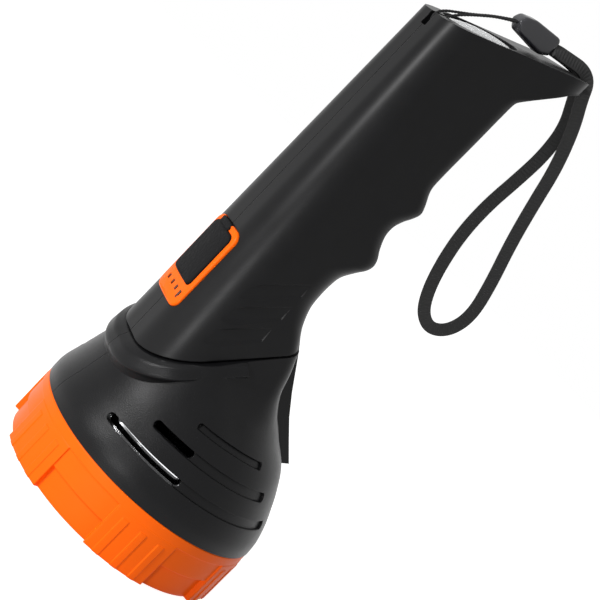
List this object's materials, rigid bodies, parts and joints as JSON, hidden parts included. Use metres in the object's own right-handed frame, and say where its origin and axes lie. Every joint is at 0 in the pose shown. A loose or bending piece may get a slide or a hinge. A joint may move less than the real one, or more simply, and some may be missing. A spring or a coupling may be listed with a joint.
{
  "type": "hand torch",
  "caption": "Large hand torch with a round head, screw-on bezel, moulded finger grip, push button, tail lamp and wrist strap, standing on its bezel.",
  "frame": {"origin": "centre of the bezel's front rim, on which the torch stands", "axes": "+Z from the bezel rim to the tail, -X the push button side, +X the finger grip side, -Y the left side that the picture shows"},
  "size_m": [0.1245, 0.1102, 0.2575],
  "materials": {
    "housing_black": "satin moulded ABS with a fine spark texture",
    "accent_orange": "satin moulded ABS",
    "button_black": "fine leather-like texture",
    "switch_plastic": "plain moulded",
    "inner_plastic": "plain moulded",
    "lens_clear": "clear, polished",
    "tail_lens_pale": "pale, slightly frosted",
    "guide_clear": "clear moulded",
    "seal_rubber": "matt",
    "reflector_bright": "bright metallised",
    "sink_aluminium": "turned",
    "board_green": "solder mask",
    "emitter_resin": "phosphor under clear resin",
    "screw_steel": "zinc plated",
    "strip_steel": "nickel plated",
    "cell_can": "plain shrink sleeve",
    "lead_insulation": "smooth insulation",
    "string_black": "twisted cord",
    "ferrule_black": "gloss moulded",
    "strap_weave": "flat woven webbing"
  },
  "bodies": {
    "torch": {"head_shell_left": "housing_black", "head_shell_right": "housing_black", "handle_shell_left": "housing_black", "handle_shell_right": "housing_black", "housing_screws": "screw_steel", "reflector": "reflector_bright", "heat_sink": "sink_aluminium", "heat_sink_screws": "screw_steel", "led_board": "sink_aluminium", "led_emitter": "emitter_resin", "switch_frame": "accent_orange", "push_switch": "switch_plastic", "control_board": "board_green", "charge_light_guide": "guide_clear", "battery_cell_upper": "cell_can", "battery_cell_lower": "cell_can", "cell_strip_front": "strip_steel", "cell_strip_rear": "strip_steel", "battery_cradle": "inner_plastic", "tail_lamp_lens": "tail_lens_pale", "tail_reflector": "reflector_bright", "tail_led_board": "board_green", "tail_led": "emitter_resin", "charge_socket": "inner_plastic", "lead_head": "lead_insulation", "lead_tail": "lead_insulation", "lanyard_string": "string_black", "strap_ferrule": "ferrule_black", "wrist_strap": "strap_weave"},
    "lens_carriage": {"front_lens": "lens_clear", "lens_seal": "seal_rubber"},
    "bezel": {"bezel_ring": "accent_orange"},
    "button": {"switch_button": "button_black", "switch_plunger": "switch_plastic"}
  },
  "joints": [
    {"name": "bezel_advance", "type": "slide", "parent": "torch", "child": "lens_carriage", "axis": [0, 0, -1], "range_m": [0, 0.006]},
    {"name": "bezel_turn", "type": "hinge", "parent": "lens_carriage", "child": "bezel", "pos_m": [0, 0, 0], "axis": [0, 0, -1], "range_deg": [0, 540]},
    {"name": "button_press", "type": "slide", "parent": "torch", "child": "button", "axis": [1, 0, 0], "range_m": [0, 0.0018], "stiffness_N_per_m": 1500, "springref_m": -0.001}
  ],
  "couplings": [
    {"joint": "bezel_advance", "follows": "bezel_turn", "m_per_rad": 0.00063662}
  ]
}
